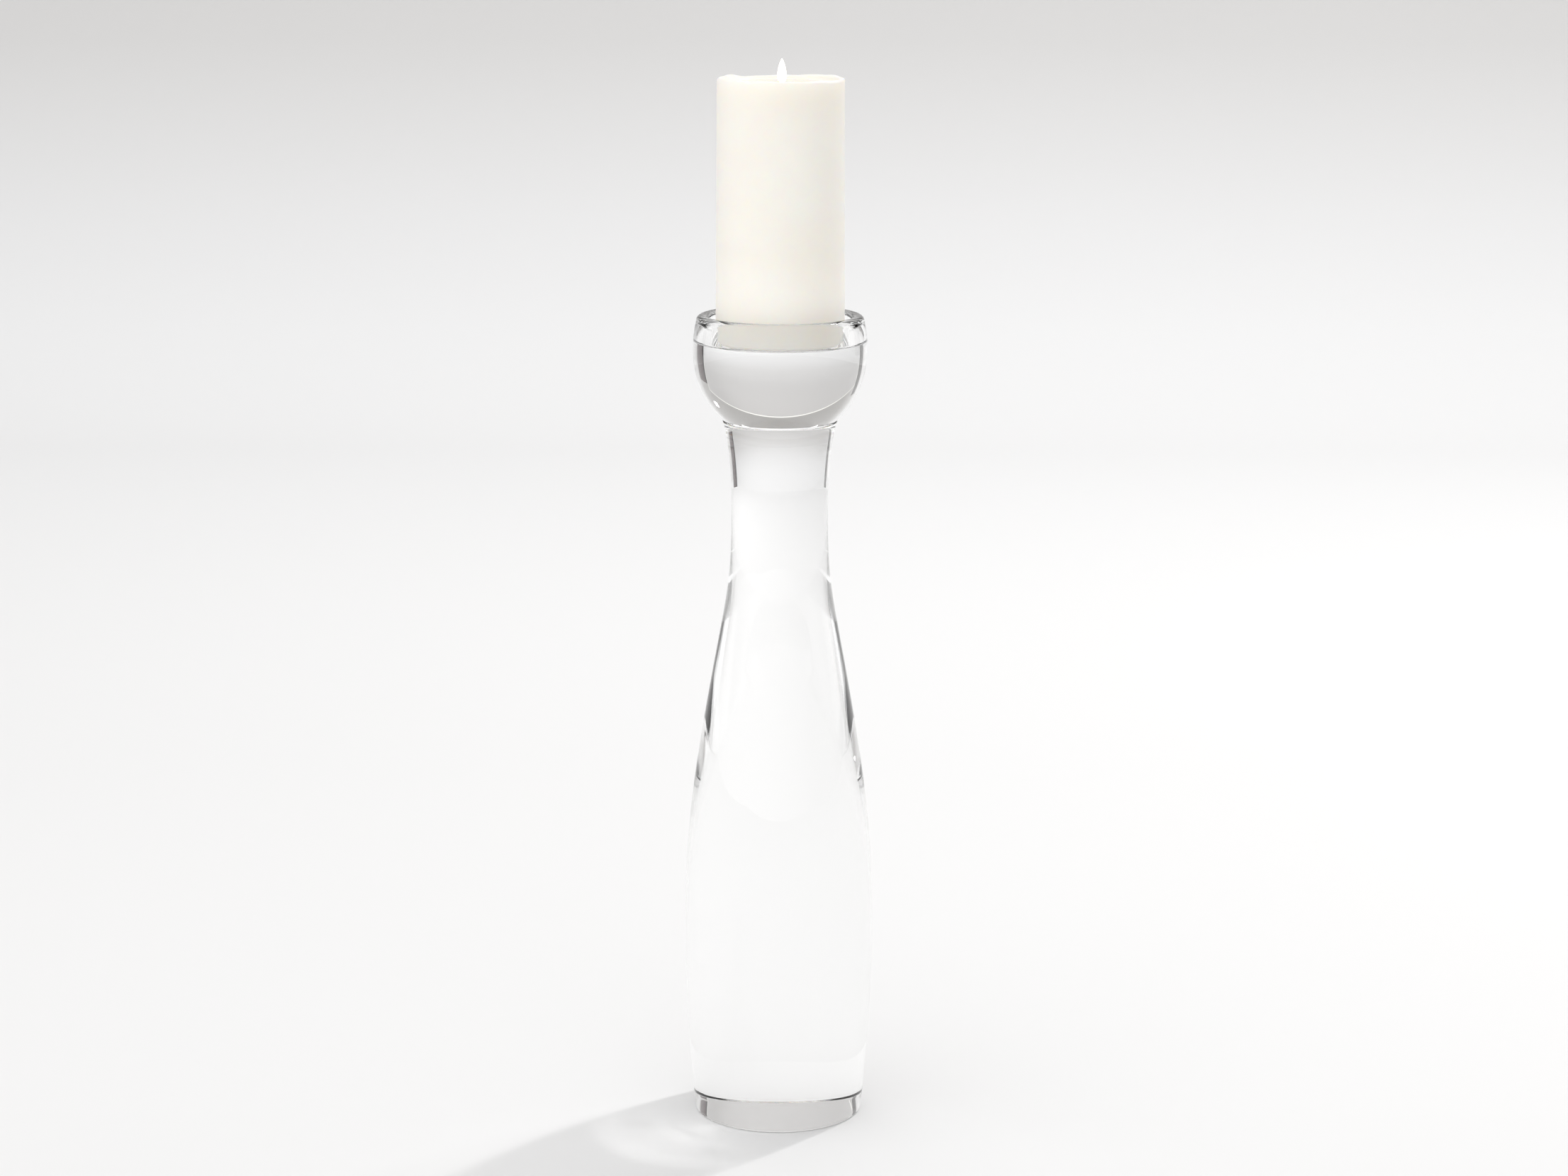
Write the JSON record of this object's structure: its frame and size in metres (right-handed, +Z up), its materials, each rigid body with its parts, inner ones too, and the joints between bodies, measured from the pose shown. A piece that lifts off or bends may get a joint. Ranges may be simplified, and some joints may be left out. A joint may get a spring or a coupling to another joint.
{
  "type": "glass candlestick",
  "caption": "Tall solid-glass candlestick with a wide belly, slim neck and round cup that holds a lit pillar candle.",
  "frame": {"origin": "centre of the stem's flat underside, on the surface that the candlestick stands on", "axes": "+Z up along the candlestick's axis; it is round, so +X and +Y are free and -Y faces the viewer"},
  "size_m": [0.1108, 0.1108, 0.6132],
  "materials": {
    "clear_glass": "clear, fire-polished",
    "clear_adhesive": "clear, cured",
    "ivory_wax": "smooth satin wax",
    "liquid_wax": "glossy, melted",
    "wick_cotton": "braided, charred at the tip",
    "tinned_steel": "pressed, tinned"
  },
  "bodies": {
    "candlestick": {"stem": "clear_glass", "bond_film": "clear_adhesive", "cup": "clear_glass"},
    "candle": {"candle_wax": "ivory_wax", "melt_pool": "liquid_wax", "wick": "wick_cotton", "wick_clip": "tinned_steel"}
  },
  "joints": [
    {"name": "candle_lift", "type": "slide", "parent": "candlestick", "child": "candle", "axis": [0, 0, 1], "range_m": [0, 0.06]}
  ]
}
